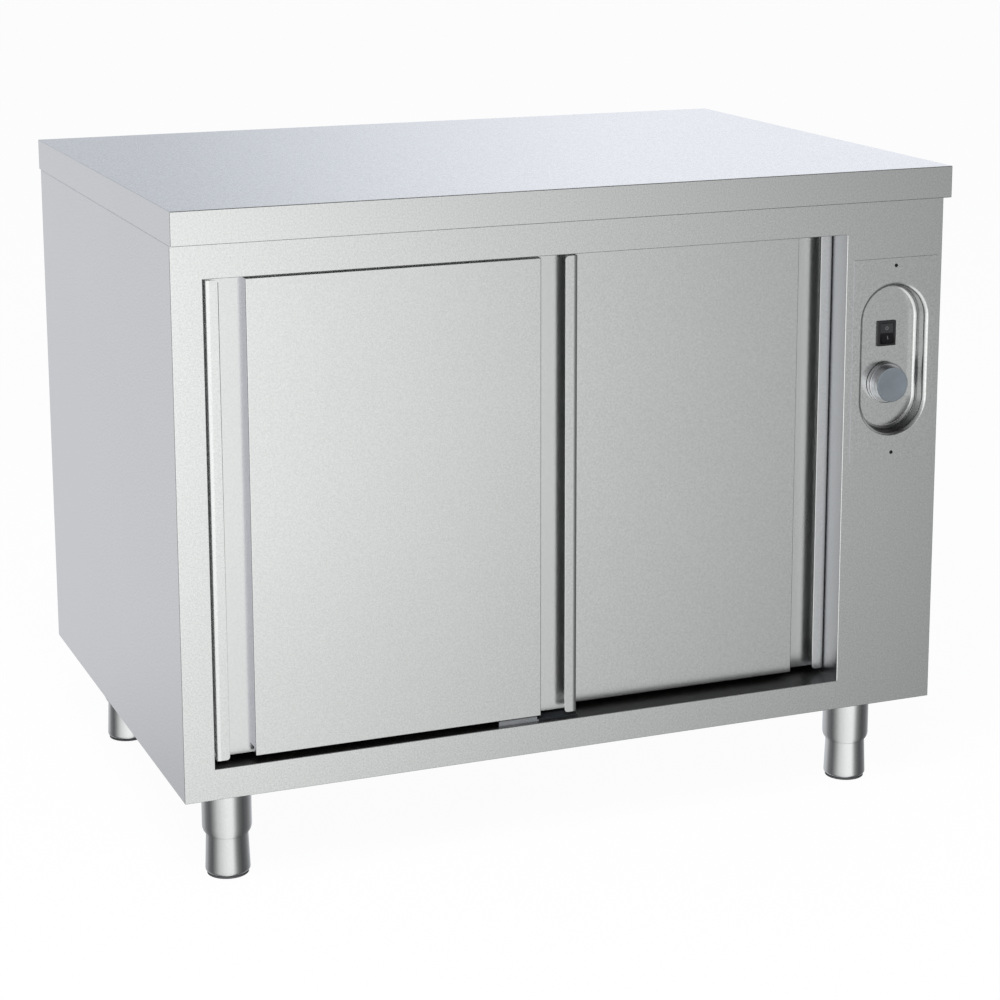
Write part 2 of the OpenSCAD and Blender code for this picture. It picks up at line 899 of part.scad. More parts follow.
// Bottom guide: a base with a pad and a tongue for each door
module door_guide() {
    pad_top = door_z[0] - guide_under;
    base_y = [front_door_y + guide_pad_v, rear_door_y + tongue_v[1]];
    places = [[guide_x[0], front_door_y], [guide_x[1], rear_door_y]];
    color(grey_plastic) {
        block([guide_x[0], guide_x[1] + guide_pad_l], base_y, [open_z[0], open_z[0] + guide_base_t]);
        for (place = places)
            translate([place[0], place[1], 0]) {
                block([0, guide_pad_l], [guide_pad_v, tongue_v[1]], [open_z[0], pad_top]);
                block([0, guide_pad_l], tongue_v, [open_z[0], door_z[0] + tongue_reach]);
            }
    }
}

module left_door_face() {
    at_left_door()
        door_face();
}

module left_door_back() {
    at_left_door()
        door_back();
}

module left_door_lips() {
    at_left_door()
        door_lips();
}

module left_door_insulation() {
    at_left_door()
        door_insulation();
}

module left_door_hangers() {
    at_left_door()
        door_hangers();
}

module right_door_face() {
    at_right_door()
        door_face();
}

module right_door_back() {
    at_right_door()
        door_back();
}

module right_door_lips() {
    at_right_door()
        door_lips();
}

module right_door_insulation() {
    at_right_door()
        door_insulation();
}

module right_door_hangers() {
    at_right_door()
        door_hangers();
}

module left_door_roller_left() {
    at_left_door()
        door_roller(hanger_u[0]);
}

module left_door_roller_right() {
    at_left_door()
        door_roller(hanger_u[1]);
}

module right_door_roller_left() {
    at_right_door()
        door_roller(hanger_u[0]);
}

module right_door_roller_right() {
    at_right_door()
        door_roller(hanger_u[1]);
}

// Controls

// Plate on the column, with a pressed pan that holds the switch and the knob
module control_panel() {
    color(steel)
        difference() {
            inward(control_x, panel_y, panel_z) {
                linear_extrude(sheet)
                    difference() {
                        middle_square(panel_w, panel_h);
                        stadium(pan_r, pan_straight);
                    }
                pan_wall();
                translate([0, 0, pan_depth])
                    linear_extrude(sheet)
                        stadium(pan_floor_r, pan_straight);
            }
            at_panel_screws()
                cylinder(r = screw_r + passing, h = screw_l);
            inward(control_x, pan_floor_y - over, knob_z)
                cylinder(r = bush_r + passing, h = sheet + 2 * over);
            inward(control_x, pan_floor_y - over, switch_z)
                linear_extrude(sheet + 2 * over)
                    middle_square(switch_body_w + 2 * passing, switch_body_h + 2 * passing);
        }
}

// Wall of the pan, swept round its stadium
module pan_wall() {
    for (side = [0, 180])
        rotate(side) {
            translate([0, pan_straight / 2, 0])
                rotate_extrude(angle = 180)
                    pan_profile();
            translate([0, pan_straight / 2, 0])
                rotate([90, 0, 0])
                    linear_extrude(pan_straight)
                        pan_profile();
        }
}

// Section of the pan's wall: rounded rim, straight wall and rounded corner
module pan_profile() {
    translate([pan_r, pan_fillet])
        quarter_ring(pan_fillet, pan_fillet - sheet, -1, -1);
    translate([pan_r - pan_fillet, pan_fillet])
        square([sheet, pan_depth - 2 * pan_fillet]);
    translate([pan_floor_r, pan_depth - pan_fillet])
        quarter_ring(pan_fillet + sheet, pan_fillet, 1, 1);
}

// Puts its children at the panel's screws, on the panel's front
module at_panel_screws() {
    for (side = [-1, 1])
        inward(control_x, panel_y, panel_z + side * screw_offset)
            children();
}

module control_panel_screws() {
    color(black_plastic)
        at_panel_screws() {
            cylinder(r = screw_r, h = screw_l);
            translate([0, 0, -screw_head_t])
                cylinder(r1 = screw_head_r - screw_head_t / 2, r2 = screw_head_r, h = screw_head_t);
        }
}

// Switch body with its bezel, the rocker's room and the bores for its pins
module switch_housing() {
    front = pan_floor_y - switch_bezel_t;
    room_h = 2 * (rocker_r + rocker_gap);
    color(black_plastic)
        difference() {
            union() {
                inward(control_x, front, switch_z)
                    linear_extrude(switch_bezel_t)
                        middle_square(switch_w, switch_h);
                inward(control_x, pan_floor_y, switch_z)
                    linear_extrude(switch_body_t)
                        middle_square(switch_body_w, switch_body_h);
            }
            inward(control_x, front - over, switch_z)
                linear_extrude(rocker_pin_depth + rocker_room + over)
                    middle_square(rocker_w + 2 * rocker_gap, room_h);
            rocker_pins(rocker_pin_r + running, rocker_pin_l + rocker_gap + running);
        }
}

// Pins of the rocker, or the bores for them
module rocker_pins(r, l) {
    half = rocker_w / 2 + l;
    rightward(control_x - half, rocker_y, switch_z)
        cylinder(r = r, h = 2 * half);
}

// Rocker with its upper half pressed in
module switch_rocker() {
    color(black_plastic) {
        translate([control_x, rocker_y, switch_z])
            rotate([-rocker_angle / 2, 0, 0])
                rotate([90, 0, 90])
                    translate([0, 0, -rocker_w / 2])
                        linear_extrude(rocker_w)
                            rocker_profile();
        rocker_pins(rocker_pin_r, rocker_pin_l + rocker_gap);
    }
}

// Section of the rocker: a disc about its pins with a shallow valley in front
module rocker_profile() {
    valley = rocker_pin_depth - rocker_recess;
    rise = rocker_r * tan(rocker_angle / 2);
    intersection() {
        circle(rocker_r);
        polygon([[-valley, 0], [-valley - rise, rocker_r], [rocker_back, rocker_r],
            [rocker_back, -rocker_r], [-valley - rise, -rocker_r]]);
    }
}

// Thermostat body and the bush that carries its spindle
module thermostat() {
    back = pan_floor_y + sheet;
    color(grey_plastic)
        difference() {
            union() {
                inward(control_x, back, knob_z)
                    linear_extrude(thermostat_t)
                        middle_square(thermostat_w, thermostat_w);
                inward(control_x, back - bush_l, knob_z)
                    cylinder(r = bush_r, h = bush_l);
            }
            inward(control_x, back - bush_l - over, knob_z)
                cylinder(r = spindle_r + running, h = bush_l + thermostat_t / 2 + over);
        }
}

module thermostat_spindle() {
    front = pan_floor_y - knob_gap - knob_hollow_t - knob_socket;
    end = pan_floor_y + sheet + thermostat_t / 2;
    color(dark_steel)
        inward(control_x, front, knob_z)
            cylinder(r = spindle_r, h = end - front);
}

// Knob with a stepped skirt, hollow over the bush and bored for the spindle
module thermostat_knob() {
    color(knob_blue)
        inward(control_x, pan_floor_y - knob_gap, knob_z)
            difference() {
                mirror([0, 0, 1])
                    rotate_extrude() {
                        rounded_step(knob_skirt_r, knob_skirt_t);
                        rounded_step(knob_cap_r, knob_h);
                    }
                translate([0, 0, -knob_hollow_t])
                    cylinder(r = knob_hollow_r, h = knob_hollow_t + over);
                translate([0, 0, -knob_hollow_t - knob_socket])
                    cylinder(r = spindle_r, h = knob_socket + over);
            }
}

// Half section of a disc with a rounded front edge
module rounded_step(r, h) {
    square([r, h - knob_edge_r]);
    square([r - knob_edge_r, h]);
    translate([r - knob_edge_r, h - knob_edge_r])
        circle(knob_edge_r);
}

// Capillary and sensing bulb, which lies along the back plate of the duct
module thermostat_bulb() {
    start = pan_floor_y + sheet + thermostat_t;
    color("#b87a4a") {
        inward(bulb_x, start, bulb_z)
            cylinder(r = capillary_r, h = duct_y[0] + duct_flange - start);
        inward(bulb_x, duct_y[0] + duct_flange, bulb_z)
            cylinder(r = bulb_r, h = bulb_l);
    }
}

// Heating

// Duct behind the grille, flanged to the partition
module heater_duct() {
    color(dark_steel)
        difference() {
            union() {
                block(duct_x, duct_y, duct_z);
                block([duct_x[0], duct_x[0] + sheet], [duct_y[0] - duct_flange, duct_y[1] + duct_flange],
                    [duct_z[0] - duct_flange, duct_z[1] + duct_flange]);
            }
            block([duct_x[0] - over, duct_x[1] - sheet], [duct_y[0] + sheet, duct_y[1] - sheet],
                [duct_z[0] + sheet, duct_z[1] - sheet]);
            rightward(duct_x[1] - sheet - over, fan_y, fan_z)
                cylinder(r = shaft_r + passing, h = sheet + 2 * over);
            at_element_leads(duct_x[1] - sheet - over)
                cylinder(r = element_sleeve_r + running, h = sheet + 2 * over);
            inward(bulb_x, duct_y[0] - over, bulb_z)
                cylinder(r = bulb_r + passing, h = sheet + 2 * over);
        }
}

// Puts its children at the two ends of the element's ring, where its sleeves are
module at_element_leads(x) {
    for (angle = [0, element_sweep])
        rightward(x, fan_y, fan_z)
            rotate(angle)
                translate([element_r, 0, 0])
                    children();
}

module heating_element() {
    color(dark_steel) {
        rightward(element_x, fan_y, fan_z)
            rotate_extrude(angle = element_sweep)
                translate([element_r, 0])
                    circle(element_tube_r);
        at_element_leads(element_x - element_sleeve_r)
            cylinder(r = element_sleeve_r, h = duct_x[1] + element_lead - element_x);
    }
}

// Motor on the back plate of the duct, bored for the impeller's shaft
module fan_motor() {
    color(dark_steel)
        rightward(duct_x[1], fan_y, fan_z)
            difference() {
                union() {
                    cylinder(r = motor_plate_r, h = motor_plate_t);
                    cylinder(r = motor_r, h = motor_l);
                    cylinder(r = motor_cap_r, h = motor_l + motor_cap_l);
                }
                translate([0, 0, -over])
                    cylinder(r = shaft_r + running, h = motor_bore + over);
            }
}

// Impeller: shaft, hub, disc and leaning blades
module fan_impeller() {
    shaft_end = duct_x[1] + motor_bore - over - disc_x;
    color(grey_plastic)
        rightward(disc_x, fan_y, fan_z) {
            cylinder(r = impeller_r, h = disc_t);
            cylinder(r = shaft_r, h = shaft_end);
            translate([0, 0, -blade_w / 2])
                cylinder(r = hub_r, h = blade_w / 2);
            for (i = [1 : blade_count])
                rotate(i * 360 / blade_count)
                    translate([blade_inner_r, 0, -blade_w])
                        rotate(blade_lean)
                            translate([0, -blade_t / 2, 0])
                                cube([impeller_r - blade_inner_r - blade_t, blade_t, blade_w + disc_t / 2]);
        }
}

// Cable gland that hangs from the base panel
module cable_gland() {
    below = gland_hex_t + gland_nut_l + gland_nose_l;
    color(black_plastic)
        translate([gland_x, gland_y, base_z])
            difference() {
                union() {
                    translate([0, 0, -gland_hex_t])
                        cylinder(r = gland_hex_r, h = gland_hex_t, $fn = 6);
                    translate([0, 0, -gland_hex_t - gland_nut_l])
                        cylinder(r = gland_nut_r, h = gland_nut_l);
                    translate([0, 0, -below])
                        cylinder(r1 = gland_nose_r, r2 = gland_nut_r, h = gland_nose_l);
                    cylinder(r = gland_thread_r, h = sheet + gland_inside);
                    translate([0, 0, sheet])
                        cylinder(r = gland_hex_r, h = gland_hex_t, $fn = 6);
                }
                translate([0, 0, -below - over])
                    cylinder(r = gland_bore_r, h = below + sheet + gland_inside + 2 * over);
            }
}

// Terminal block with a row of screw wells
module terminal_block() {
    span = (terminal_count - 1) * terminal_pitch;
    color("#e4e2da")
        translate([control_x, terminal_y, base_z + sheet])
            difference() {
                translate([-terminal_size[0] / 2, -terminal_size[1] / 2, 0])
                    cube(terminal_size);
                for (i = [0 : terminal_count - 1], side = [-1, 1])
                    translate([i * terminal_pitch - span / 2, side * terminal_size[1] / 4,
                        terminal_size[2] - terminal_well])
                        cylinder(r = terminal_well_r, h = terminal_well + over);
            }
}

// Legs

module leg_flanges() {
    color(dark_steel)
        difference() {
            at_legs()
                translate([0, 0, flange_z])
                    linear_extrude(flange_t)
                        middle_square(flange_w, flange_w);
            at_bolts()
                translate([0, 0, flange_z - over])
                    cylinder(r = bolt_hole_r, h = flange_t + 2 * over);
        }
}

// Bolts with their heads below the flanges and their nuts on the base panel
module leg_bolts() {
    color(dark_steel)
        at_bolts() {
            translate([0, 0, flange_z - bolt_head_t])
                cylinder(r = bolt_head_r, h = bolt_head_t, $fn = 6);
            translate([0, 0, flange_z])
                cylinder(r = bolt_r, h = flange_t + sheet + nut_t + bolt_spare);
            translate([0, 0, base_z + sheet])
                cylinder(r = bolt_head_r, h = nut_t, $fn = 6);
        }
}

// Leg tubes with their ends drawn in and a threaded bush inside
module leg_tubes() {
    color(steel)
        at_legs()
            rotate_extrude() {
                difference() {
                    leg_outline(leg_r, leg_curl_r);
                    leg_outline(leg_r - leg_wall, leg_curl_r - leg_wall);
                }
                translate([stem_r + running, bush_z])
                    square([leg_r - leg_wall - stem_r - running, leg_bush_h]);
            }
}

// Half section of a leg that is drawn in at its lower end
module leg_outline(r, curl) {
    shoulder = leg_seam + leg_curl_h;
    translate([0, shoulder])
        square([r, flange_z - shoulder]);
    translate([0, leg_seam])
        square([r - curl, leg_curl_h]);
    translate([r - curl, shoulder])
        intersection() {
            circle(curl);
            translate([0, -leg_curl_h])
                square([curl, leg_curl_h]);
        }
}

// A foot with its screw
module foot(i, j) {
    shoulder = foot_pad_t + foot_edge_r;
    color(steel)
        translate([leg_x[i], leg_y[j], 0]) {
            translate([0, 0, shoulder])
                cylinder(r1 = foot_base_r, r2 = foot_top_r, h = foot_top - shoulder);
            rotate_extrude()
                foot_edge();
            translate([0, 0, foot_top])
                cylinder(r = stem_r, h = stem_top - foot_top);
        }
}

// Half section of the rounded lower edge of a foot
module foot_edge() {
    inner = foot_base_r - foot_edge_r;
    translate([0, foot_pad_t])
        square([inner, foot_edge_r]);
    translate([inner, foot_pad_t + foot_edge_r])
        quarter_ring(foot_edge_r, 0, 1, -1);
}

module foot_pad(i, j) {
    color(black_plastic)
        translate([leg_x[i], leg_y[j], 0])
            cylinder(r = foot_base_r - foot_edge_r / 2, h = foot_pad_t);
}

worktop();
worktop_stiffeners();
left_side_panel();
right_side_panel();
rear_panel();
base_panel();
front_frame();
control_panel();
control_panel_screws();
chamber_left_wall();
chamber_right_wall();
chamber_rear_wall();
chamber_ceiling();
chamber_floor();
left_insulation();
rear_insulation();
ceiling_insulation();
floor_insulation();
shelf();
shelf_rails();
door_track();
door_guide();
switch_housing();
thermostat();
thermostat_bulb();
terminal_block();
cable_gland();
heater_duct();
heating_element();
fan_motor();
leg_flanges();
leg_bolts();
leg_tubes();
left_door_face();
left_door_back();
left_door_lips();
left_door_insulation();
left_door_hangers();
right_door_face();
right_door_back();
right_door_lips();
right_door_insulation();
right_door_hangers();
left_door_roller_left();
left_door_roller_right();
right_door_roller_left();
right_door_roller_right();
thermostat_knob();
thermostat_spindle();
switch_rocker();
fan_impeller();
foot(0, 0);  // front_left_foot
foot(1, 0);  // front_right_foot
foot(0, 1);  // rear_left_foot
foot(1, 1);  // rear_right_foot
foot_pad(0, 0);  // front_left_foot_pad
foot_pad(1, 0);  // front_right_foot_pad
foot_pad(0, 1);  // rear_left_foot_pad
foot_pad(1, 1);  // rear_right_foot_pad
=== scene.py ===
"""Looks of the hot cupboard: folded sheet edges, finishes, marks, fixings and the studio round it."""

import json
import math

import bmesh
import bpy
from mathutils import Matrix, Vector

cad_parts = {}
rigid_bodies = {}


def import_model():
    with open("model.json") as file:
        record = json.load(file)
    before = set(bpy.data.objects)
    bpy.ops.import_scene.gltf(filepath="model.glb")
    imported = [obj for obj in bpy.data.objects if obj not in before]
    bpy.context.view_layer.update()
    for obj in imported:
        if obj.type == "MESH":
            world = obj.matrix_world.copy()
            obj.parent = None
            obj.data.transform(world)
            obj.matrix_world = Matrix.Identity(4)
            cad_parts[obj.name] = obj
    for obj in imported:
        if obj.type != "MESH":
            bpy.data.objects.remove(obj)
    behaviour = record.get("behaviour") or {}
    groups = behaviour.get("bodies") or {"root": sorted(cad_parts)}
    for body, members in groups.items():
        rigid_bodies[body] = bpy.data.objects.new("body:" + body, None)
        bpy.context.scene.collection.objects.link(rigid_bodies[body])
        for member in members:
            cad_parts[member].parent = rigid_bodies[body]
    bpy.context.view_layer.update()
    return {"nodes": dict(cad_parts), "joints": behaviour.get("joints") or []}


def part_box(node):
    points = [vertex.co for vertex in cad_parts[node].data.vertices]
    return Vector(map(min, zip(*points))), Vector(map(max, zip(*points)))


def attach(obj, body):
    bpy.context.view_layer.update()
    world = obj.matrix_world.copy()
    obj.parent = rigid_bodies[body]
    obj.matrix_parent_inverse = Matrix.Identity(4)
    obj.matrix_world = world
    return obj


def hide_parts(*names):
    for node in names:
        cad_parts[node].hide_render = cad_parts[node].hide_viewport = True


MM = 0.001

# Camera, fitted to the photograph's corners
CAMERA_AT = (-1.1960, -3.0850, 1.2464)
CAMERA_TURN = (78.343, 0.0, -22.439)
CAMERA_LENS = 92.225
CAMERA_SHIFT = (-0.0331, -0.1532)
CAMERA_REACH = 200.0

# Radii of folded sheet edges, and the steps that make up a fold
WORKTOP_FOLD = 1.1 * MM
BODY_FOLD = 0.8 * MM
DOOR_FOLD = 1.0 * MM
PANEL_EDGE = 0.12 * MM
SHELF_FOLD = 1.5 * MM
PLASTIC_EDGE = 0.6 * MM
FOLD_STEPS = 4

# Angles and lengths that tell edges, faces and places apart
SMOOTH_UNDER = math.radians(35)
COPLANAR_UNDER = math.radians(0.1)
CORNER_OVER = math.radians(30)
WELD_UNDER = 0.002 * MM
ON_PLANE = 0.02 * MM
NEAR = 0.1 * MM
FACING = 0.9

# Thickness of the sheet
SHEET = 1.0 * MM

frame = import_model()
nodes = frame["nodes"]


# Node trees

def fill(tree, node, **inputs):
    """Sets inputs of a shader node, each to a value or to a socket to link from."""
    for key, value in inputs.items():
        name = key.replace("_", " ")
        socket = node.inputs[int(name)] if name.isdigit() else node.inputs[name]
        if isinstance(value, bpy.types.NodeSocket):
            tree.links.new(value, socket)
        else:
            socket.default_value = value


def put(tree, kind, settings=None, **inputs):
    """Adds a shader node with its settings and inputs."""
    node = tree.nodes.new(kind)
    for key, value in (settings or {}).items():
        setattr(node, key, value)
    fill(tree, node, **inputs)
    return node


def material(name):
    """A new node material: (material, its tree, its principled shader, object coordinates)."""
    made = bpy.data.materials.new(name)
    made.use_nodes = True
    tree = made.node_tree
    place = put(tree, "ShaderNodeTexCoord").outputs["Object"]
    return made, tree, tree.nodes["Principled BSDF"], place


def step(tree, operation, *values):
    """One step of arithmetic on values or sockets."""
    inputs = {str(i): value for i, value in enumerate(values)}
    return put(tree, "ShaderNodeMath", {"operation": operation}, **inputs).outputs[0]


def noise(tree, place, scale, detail=2.0, stretch=(1, 1, 1)):
    """Noise between 0 and 1, stretched along an axis where its factor is small."""
    turned = put(tree, "ShaderNodeMapping", Vector=place, Scale=stretch).outputs["Vector"]
    return put(tree, "ShaderNodeTexNoise", Vector=turned, Scale=scale, Detail=detail).outputs["Fac"]


def between(tree, factor, low, high, span=(0.3, 0.7)):
    """Maps a factor from span to the range low to high."""
    return put(tree, "ShaderNodeMapRange", Value=factor, From_Min=span[0], From_Max=span[1],
               To_Min=low, To_Max=high).outputs["Result"]


def blend(tree, factor, one, two, kind="MIX"):
    """Mixes two colours, or multiplies them."""
    settings = {"data_type": "RGBA", "blend_type": kind}
    return put(tree, "ShaderNodeMix", settings, **{"0": factor, "6": one, "7": two}).outputs[2]


def bumps(tree, height, strength, distance):
    """A normal that follows small heights."""
    return put(tree, "ShaderNodeBump", Strength=strength, Distance=distance, Height=height).outputs[0]


def shade(colour, factor):
    """A colour scaled by a factor, with alpha."""
    return (colour[0] * factor, colour[1] * factor, colour[2] * factor, 1.0)


# Finishes

SPECKLE_SCALE = 480.0
CLOUD_SCALE = 7.0
CLOUD_SHARE = 0.03
LINE_SHARE = 0.08
STEEL_SWING = 0.015
STEEL_RIDGE = 0.4 * MM
# Painted shade on steel: the axis a surface faces, its share of tone there, and how far it has to face
PAINTED_SHADE_ENDS = ("Z", 0.2, (0.3, 0.8))
PAINTED_SHADE_SIDES = ("X", 0.55, (0.8, 0.97))


def swing(tree, factor, share, base):
    """Adds a share of a factor's swing about its middle to a base value."""
    return step(tree, "MULTIPLY_ADD", step(tree, "SUBTRACT", factor, 0.5), share, base)


def facing(tree, axis):
    """How far a surface faces along an axis, either way, from 0 to 1."""
    normal = put(tree, "ShaderNodeTexCoord").outputs["Normal"]
    part = put(tree, "ShaderNodeSeparateXYZ", Vector=normal).outputs[axis]
    return step(tree, "ABSOLUTE", part)


def dulled(tree, tone, axis, share, span):
    """Painted shade: a tone that falls to a share of itself where the surface faces along an axis."""
    return step(tree, "MULTIPLY", tone, between(tree, facing(tree, axis), 1.0, share, span))


def steel(name, colour, roughness, stretch, speckle=0.25, bump=0.02, painted_shade=False):
    """Satin steel: a fine speckle, brush lines along the axis with the small stretch, and cloudy wear.

    With painted shade, the steel is painted darker where it faces up or down, on its upper and lower ends,
    and on its steep sides facing along x."""
    made, tree, shader, place = material(name)
    lines = noise(tree, place, 1.0, 3.0, stretch)
    grain = noise(tree, place, SPECKLE_SCALE, 1.0)
    clouds = noise(tree, place, CLOUD_SCALE, 3.0)
    tone = swing(tree, clouds, CLOUD_SHARE, 1.0)
    tone = swing(tree, lines, LINE_SHARE, tone)
    tone = swing(tree, grain, speckle, tone)
    # painted shade by the way the surface faces
    if painted_shade:
        tone = dulled(tree, tone, *PAINTED_SHADE_ENDS)
        tone = dulled(tree, tone, *PAINTED_SHADE_SIDES)
    scaled = {"0": colour, "Scale": tone}
    paint = put(tree, "ShaderNodeVectorMath", {"operation": "SCALE"}, **scaled).outputs[0]
    fill(tree, shader, Base_Color=paint, Metallic=1.0,
         Roughness=between(tree, lines, roughness - STEEL_SWING, roughness + STEEL_SWING),
         Normal=bumps(tree, lines, bump, STEEL_RIDGE))
    return made


CRYSTAL_SCALE = 90.0
CRYSTAL_SHADES = (0.86, 1.1)
CRYSTAL_ROUGH = (0.38, 0.55)
DIRT_SCALE = 14.0
DIRT_SHARE = 0.5
DIRT_SHADE = 0.7


def galvanised(name, colour):
    """Zinc-coated steel with its flat, patchy crystals."""
    made, tree, shader, place = material(name)
    cells = put(tree, "ShaderNodeTexVoronoi", Vector=place, Scale=CRYSTAL_SCALE).outputs["Color"]
    flake = put(tree, "ShaderNodeSeparateColor", Color=cells).outputs[0]
    dirt = between(tree, noise(tree, place, DIRT_SCALE, 4.0), 0, DIRT_SHARE)
    clean = blend(tree, flake, *(shade(colour, factor) for factor in CRYSTAL_SHADES))
    fill(tree, shader, Base_Color=blend(tree, dirt, clean, shade(colour, DIRT_SHADE)), Metallic=1.0,
         Roughness=between(tree, flake, *CRYSTAL_ROUGH, (0, 1)))
    return made


MOULD_GRAIN = 900.0
MOULD_SWING = 0.06
MOULD_BUMP = 0.06
MOULD_RIDGE = 0.2 * MM
BLOTCH_SCALE = 40.0
BLOTCH_SHARE = 0.12


def plastic(name, colour, roughness):
    """Moulded plastic with a fine eroded grain."""
    made, tree, shader, place = material(name)
    fine = noise(tree, place, MOULD_GRAIN)
    broad = between(tree, noise(tree, place, BLOTCH_SCALE), 0, 1)
    fill(tree, shader,
         Base_Color=blend(tree, broad, shade(colour, 1 - BLOTCH_SHARE), shade(colour, 1 + BLOTCH_SHARE)),
         Roughness=between(tree, fine, roughness - MOULD_SWING, roughness + MOULD_SWING),
         Normal=bumps(tree, fine, MOULD_BUMP, MOULD_RIDGE))
    return made


FIBRE_SCALE = 60.0
FIBRE_STRETCH = (1, 1, 4)
FIBRE_SHADES = (0.7, 1.15)
FIBRE_ROUGH = 0.95
FIBRE_BUMP = 0.5
FIBRE_RIDGE = 2.0 * MM


def wool(name, colour):
    """Mineral wool: matted fibres."""
    made, tree, shader, place = material(name)
    fibre = noise(tree, place, FIBRE_SCALE, 6.0, FIBRE_STRETCH)
    dark, light = (shade(colour, factor) for factor in FIBRE_SHADES)
    fill(tree, shader, Base_Color=blend(tree, between(tree, fibre, 0, 1), dark, light),
         Roughness=FIBRE_ROUGH, Normal=bumps(tree, fibre, FIBRE_BUMP, FIBRE_RIDGE))
    return made


# Stretch of brush lines along an axis
ALONG_X = (240, 800, 800)
ALONG_Y = (800, 240, 800)
ALONG_Z = (800, 800, 120)

look = {
    "panel": steel("satin_steel", (0.86, 0.87, 0.865), 0.22, ALONG_X, 0.27),
    "frame": steel("satin_steel_frame", (0.86, 0.87, 0.865), 0.22, ALONG_X, 0.36),
    "top": steel("satin_steel_top", (0.86, 0.87, 0.865), 0.22, ALONG_X, 0.8),
    "side": steel("satin_steel_sides", (0.86, 0.87, 0.87), 0.22, ALONG_Y, 0.45),
    "leg": steel("leg_steel", (0.92, 0.93, 0.93), 0.22, ALONG_Z, 0.1),
    "foot": steel("foot_steel", (0.8, 0.81, 0.81), 0.22, ALONG_Z, 0.1),
    # the control panel's pan, with painted shade on its upper and lower ends and its steep sides
    "pan": steel("pressed_steel", (0.86, 0.87, 0.865), 0.22, ALONG_X, painted_shade=True),
    "channel": steel("channel_steel", (0.89, 0.9, 0.895), 0.25, ALONG_Z, 0.12, 0.004),
    # rough steel for narrow slits between parts, its brighter colour painted light
    "gap_painted_light": steel("gap_steel", (0.95, 0.96, 0.955), 0.75, ALONG_Z),
    # painted shade: darker steel for the right edge of the door opening
    "jamb_painted_shade": steel("jamb_steel", (0.53, 0.535, 0.56), 0.3, ALONG_Z),
    "chamber": steel("chamber_steel", (0.66, 0.67, 0.67), 0.3, ALONG_X),
    # painted shade: near-black steel for walls deep inside hollows
    "recess_painted_shade": steel("dull_steel", (0.14, 0.14, 0.15), 0.4, ALONG_Z),
    # painted shade: darker, lilac-grey steel for left-facing side walls
    "tray_wall_painted_shade": steel("tray_wall_steel", (0.5, 0.5, 0.56), 0.3, ALONG_Z),
    # painted shade: darker steel for the upward face at the bottom of the door opening
    "sill": steel("sill_steel", (0.44, 0.445, 0.45), 0.35, ALONG_X),
    "hardware": galvanised("galvanised_steel", (0.56, 0.57, 0.58)),
    "wool": wool("mineral_wool", (0.62, 0.53, 0.28)),
    "black": plastic("black_plastic", (0.018, 0.018, 0.02), 0.42),
    "rocker": plastic("rocker_plastic", (0.004, 0.004, 0.005), 0.6),
    # painted light: the rocker's upper half in a lighter plastic, as if lit from above
    "rocker_top_painted_light": plastic("rocker_top_plastic", (0.03, 0.031, 0.032), 0.4),
    "mark": plastic("mark_paint", (0.22, 0.22, 0.22), 0.5),
    "screw": plastic("screw_black", (0.004, 0.004, 0.004), 0.7),
    "guide_light": plastic("guide_plastic", (0.25, 0.262, 0.275), 0.45),
    # painted shade: near-black plastic for the parts of the guide in shade
    "guide_painted_shade": plastic("guide_plastic_dark", (0.02, 0.023, 0.026), 0.45),
    "pad": plastic("foot_pad_rubber", (0.09, 0.09, 0.095), 0.6),
    "knob": steel("knob_metal", (0.76, 0.77, 0.79), 0.24, ALONG_X, 0.1),
    "cap": plastic("knob_cap", (0.165, 0.19, 0.212), 0.45),
    "copper": steel("copper", (0.72, 0.42, 0.26), 0.3, ALONG_Y),
    "cream": plastic("terminal_plastic", (0.75, 0.73, 0.66), 0.5),
}


# Pieces

def body_name(node):
    """Name of the CAD body that a node belongs to."""
    return nodes[node].parent.name.removeprefix("body:")


def box_planes(node):
    """The six planes of a node's box: two places along each axis."""
    low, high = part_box(node)
    return {axis: (low[i], high[i]) for i, axis in enumerate("xyz")}


def faces(face, way):
    """Whether a face looks along a signed axis, such as -x."""
    along = face.normal["xyz".index(way[1])]
    return along > FACING if way[0] == "+" else along < -FACING


def copied(node):
    """A node's mesh as an editable mesh, with its seams welded and its flat faces joined."""
    made = bmesh.new()
    made.from_mesh(nodes[node].data)
    bmesh.ops.remove_doubles(made, verts=made.verts, dist=WELD_UNDER)
    bmesh.ops.dissolve_limit(made, angle_limit=COPLANAR_UNDER, verts=made.verts, edges=made.edges)
    return made


def on_planes(edge, planes):
    """How many of the given planes an edge lies in."""
    count = 0
    for axis, values in planes.items():
        for value in values:
            count += all(abs(v.co["xyz".index(axis)] - value) < ON_PLANE for v in edge.verts)
    return count


def is_convex(edge):
    """Whether an edge is an outer corner between two faces."""
    return len(edge.link_faces) == 2 and edge.calc_face_angle_signed(0) > CORNER_OVER


def fold(made, radius, planes):
    """Rounds the outer corners where two of the given planes meet."""
    edges = [e for e in made.edges if is_convex(e) and on_planes(e, planes) >= 2]
    bmesh.ops.bevel(made, geom=edges, offset=radius, offset_type="OFFSET", segments=FOLD_STEPS, profile=0.5,
                    affect="EDGES", clamp_overlap=True)


def cut_across(made, axis, *places):
    """Cuts the faces of an editable mesh in two at places along an axis."""
    normal = Vector([name == axis for name in "xyz"])
    for place in places:
        bmesh.ops.bisect_plane(made, geom=[*made.verts, *made.edges, *made.faces], plane_co=normal * place,
                               plane_no=normal)


